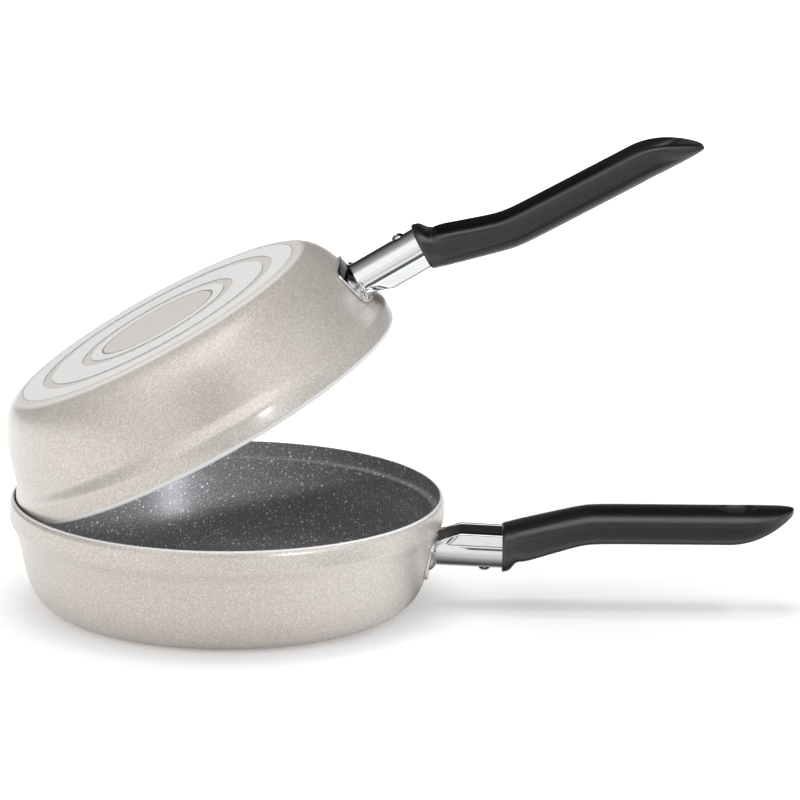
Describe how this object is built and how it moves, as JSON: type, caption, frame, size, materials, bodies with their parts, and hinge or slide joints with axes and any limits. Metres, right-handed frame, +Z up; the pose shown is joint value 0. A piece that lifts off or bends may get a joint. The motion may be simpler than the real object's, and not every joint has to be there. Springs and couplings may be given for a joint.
{
  "type": "double sided flip pan",
  "caption": "Pair of round pans with moulded handles that nest rim to rim, so that food between them can be turned over; shown tilted open.",
  "frame": {"origin": "centre of the lower pan's base, on the surface that it stands on", "axes": "+X from the pans towards the handles, +Z up with the lower pan standing on its base, +Y away from the picture's viewer"},
  "size_m": [0.3628, 0.2, 0.2192],
  "materials": {
    "pan": "warm cream paint with fine sparkle outside, dark speckled non-stick coat inside, turned bare base",
    "guard": "polished chrome on bent steel sheet",
    "rivets": "satin",
    "handle": "satin moulded, black",
    "screw": "bright plated"
  },
  "bodies": {
    "lower": {"lower_pan": "pan", "lower_guard": "guard", "lower_rivets": "rivets", "lower_handle": "handle", "lower_screw": "screw"},
    "upper": {"upper_pan": "pan", "upper_guard": "guard", "upper_rivets": "rivets", "upper_handle": "handle", "upper_screw": "screw"}
  },
  "joints": [
    {"name": "tilt", "type": "hinge", "parent": "lower", "child": "upper", "pos_m": [-0.0896, 0, 0.051], "axis": [0, -1, 0], "range_deg": [-28.7, 16]}
  ]
}
